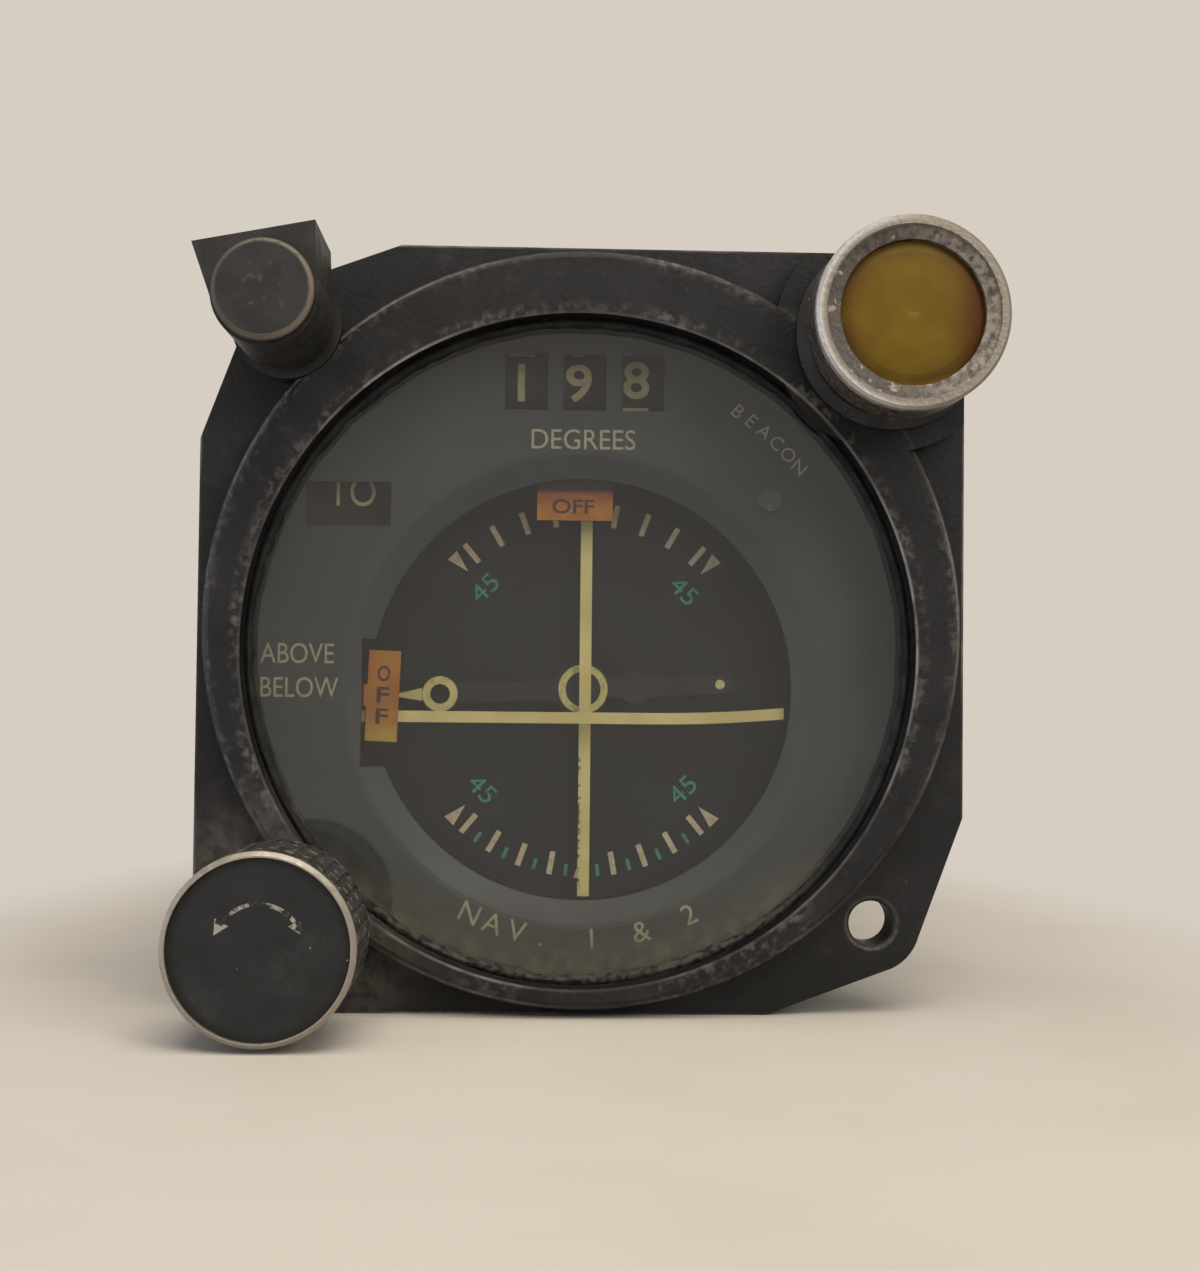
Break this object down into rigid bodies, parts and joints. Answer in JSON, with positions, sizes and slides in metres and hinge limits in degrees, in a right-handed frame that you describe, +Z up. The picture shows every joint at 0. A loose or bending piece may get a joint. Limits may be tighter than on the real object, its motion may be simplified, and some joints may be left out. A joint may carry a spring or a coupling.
{
  "type": "course deviation indicator",
  "caption": "Panel instrument with crossed bars, warning flags, a course counter, a set knob, a marker lamp and a post light on a square flange with a round case behind.",
  "frame": {"origin": "middle of the flange's rear face, where it meets the instrument panel, on the axis of the round case", "axes": "-Y out of the dial towards the viewer, +Y back through the panel, +Z up on the dial, +X to the right as the dial is read"},
  "size_m": [0.0839, 0.1695, 0.0831],
  "materials": {
    "black_casting": "worn satin black paint on cast aluminium",
    "black_can": "satin black paint on drawn aluminium",
    "steel_screw": "plain steel, slightly tarnished",
    "glass": "flat clear glass",
    "sealant": "cracked black sealing compound",
    "grey_mask": "matte dark grey paint",
    "aluminium": "plain sheet and bar",
    "black_screw": "matte black screw",
    "black_dial": "matte near-black dial paint",
    "steel": "turned steel",
    "brass": "cut brass",
    "synchro_shell": "plated shell",
    "black_pointer": "matte black with luminous marks",
    "drum_black": "matte black",
    "magnet_steel": "ground magnet steel",
    "cream_bar": "cream luminous paint",
    "orange_flag": "faded orange paint",
    "knob_aluminium": "worn dark anodised, bright rim",
    "black_disc": "matte black",
    "lamp_aluminium": "worn paint over bright aluminium",
    "amber_lens": "translucent amber",
    "bulb_glass": "small lamp",
    "black_hood": "matte black paint, worn edges",
    "connector_plate": "dull plated shell",
    "insert_plastic": "moulded insert with contact pins"
  },
  "bodies": {
    "case": {"bezel_casting": "black_casting", "case_can": "black_can", "gear_lobe_cover": "black_can", "rear_cover": "black_can", "rear_cover_screws": "steel_screw", "window_glass": "glass", "sealing_bead": "sealant", "dial_mask": "grey_mask", "mask_post": "aluminium", "mask_screw": "black_screw", "centre_dial": "black_dial", "front_plate": "black_dial", "mid_plate": "aluminium", "centre_plate": "aluminium", "rear_plate": "aluminium", "frame_posts": "steel", "post_screws": "steel_screw", "plate_screws": "steel_screw", "course_resolver": "synchro_shell", "counter_frame": "aluminium", "carry_pinions": "brass", "course_meter": "magnet_steel", "slope_meter": "magnet_steel", "top_flag_meter": "magnet_steel", "side_flag_meter": "magnet_steel", "vane_meter": "magnet_steel", "knob_bushing": "steel", "lamp_body": "black_casting", "lamp_bulb": "bulb_glass", "light_base": "black_hood", "light_hood": "black_hood", "light_bulb": "bulb_glass", "connector_shell": "connector_plate", "connector_insert": "insert_plastic", "connector_screws": "steel_screw"},
    "set_knob": {"knob_shell": "knob_aluminium", "knob_disc": "black_disc", "knob_set_screw": "steel_screw", "knob_shaft": "steel", "knob_gear": "brass"},
    "idler": {"idler_gear": "brass"},
    "course_drive": {"course_gear": "brass", "heading_synchro": "synchro_shell"},
    "heading_hand": {"heading_pointer": "black_pointer"},
    "takeoff": {"takeoff_gear": "brass"},
    "transfer": {"transfer_gear": "brass"},
    "counter_drive": {"contrate_gear": "brass"},
    "units": {"units_drum": "drum_black", "counter_shaft": "steel"},
    "tens": {"tens_drum": "drum_black"},
    "hundreds": {"hundreds_drum": "drum_black"},
    "course_bar": {"course_needle": "cream_bar"},
    "slope_bar": {"slope_needle": "cream_bar"},
    "upper_flag": {"top_flag": "orange_flag"},
    "left_flag": {"side_flag": "orange_flag"},
    "vane": {"word_vane": "drum_black"},
    "lamp_front": {"lamp_cap": "lamp_aluminium", "lamp_lens": "amber_lens"},
    "post_light_cap": {"light_cap": "black_hood"}
  },
  "joints": [
    {"name": "set_knob_turn", "type": "hinge", "parent": "case", "child": "set_knob", "pos_m": [-0.03093, 0, -0.03143], "axis": [0, 1, 0], "continuous": true},
    {"name": "idler_turn", "type": "hinge", "parent": "case", "child": "idler", "pos_m": [-0.02336, 0.0095, -0.02149], "axis": [0, 1, 0], "continuous": true},
    {"name": "course_turn", "type": "hinge", "parent": "case", "child": "course_drive", "pos_m": [0, 0.0095, -0.0065], "axis": [0, 1, 0], "continuous": true},
    {"name": "heading_turn", "type": "hinge", "parent": "course_drive", "child": "heading_hand", "pos_m": [0, 0.006, -0.0065], "axis": [0, 1, 0], "continuous": true},
    {"name": "takeoff_turn", "type": "hinge", "parent": "case", "child": "takeoff", "pos_m": [0.01889, 0.0095, 0.00705], "axis": [0, 1, 0], "continuous": true},
    {"name": "transfer_turn", "type": "hinge", "parent": "case", "child": "transfer", "pos_m": [0.02234, 0.0095, 0.02062], "axis": [0, 1, 0], "continuous": true},
    {"name": "drive_turn", "type": "hinge", "parent": "case", "child": "counter_drive", "pos_m": [0.0162, 0.0095, 0.0272], "axis": [0, 1, 0], "continuous": true},
    {"name": "units_turn", "type": "hinge", "parent": "case", "child": "units", "pos_m": [0, 0.0095, 0.0272], "axis": [1, 0, 0], "continuous": true},
    {"name": "tens_turn", "type": "hinge", "parent": "case", "child": "tens", "pos_m": [0, 0.0095, 0.0272], "axis": [1, 0, 0], "continuous": true},
    {"name": "hundreds_turn", "type": "hinge", "parent": "case", "child": "hundreds", "pos_m": [0, 0.0095, 0.0272], "axis": [1, 0, 0], "continuous": true},
    {"name": "course_bar_swing", "type": "hinge", "parent": "case", "child": "course_bar", "pos_m": [0.0005, 0.088, 0], "axis": [0, 0, 1], "range_deg": [-7.5, 7.5], "stiffness_Nm_per_rad": 0.008},
    {"name": "slope_bar_swing", "type": "hinge", "parent": "case", "child": "slope_bar", "pos_m": [0, 0.0865, -0.0097], "axis": [1, 0, 0], "range_deg": [-8.9, 4.6], "stiffness_Nm_per_rad": 0.008},
    {"name": "top_flag_swing", "type": "hinge", "parent": "case", "child": "upper_flag", "pos_m": [0, 0.045, 0.0181], "axis": [1, 0, 0], "range_deg": [-6.2, 0], "stiffness_Nm_per_rad": 0.004},
    {"name": "side_flag_swing", "type": "hinge", "parent": "case", "child": "left_flag", "pos_m": [-0.0255, 0.045, 0], "axis": [0, 0, 1], "range_deg": [-5.8, 0], "stiffness_Nm_per_rad": 0.004},
    {"name": "vane_swing", "type": "hinge", "parent": "case", "child": "vane", "pos_m": [0, 0.032, 0.0168], "axis": [1, 0, 0], "range_deg": [-6, 4.5], "stiffness_Nm_per_rad": 0.004},
    {"name": "lamp_cap_turn", "type": "hinge", "parent": "case", "child": "lamp_front", "pos_m": [0.0324, -0.018, 0.0316], "axis": [0, 1, 0], "range_deg": [-90, 0]},
    {"name": "light_cap_turn", "type": "hinge", "parent": "case", "child": "post_light_cap", "pos_m": [-0.03183, -0.024, 0.03183], "axis": [0, 1, 0], "range_deg": [-360, 0]}
  ],
  "couplings": [
    {"joint": "idler_turn", "follows": "set_knob_turn", "ratio": -0.66667},
    {"joint": "course_turn", "follows": "set_knob_turn", "ratio": 0.24691},
    {"joint": "takeoff_turn", "follows": "set_knob_turn", "ratio": -1.6667},
    {"joint": "transfer_turn", "follows": "set_knob_turn", "ratio": 2.2222},
    {"joint": "drive_turn", "follows": "set_knob_turn", "ratio": -4.4444},
    {"joint": "units_turn", "follows": "set_knob_turn", "ratio": -8.8889},
    {"joint": "tens_turn", "follows": "set_knob_turn", "ratio": -0.88889},
    {"joint": "hundreds_turn", "follows": "set_knob_turn", "ratio": -0.088889}
  ]
}
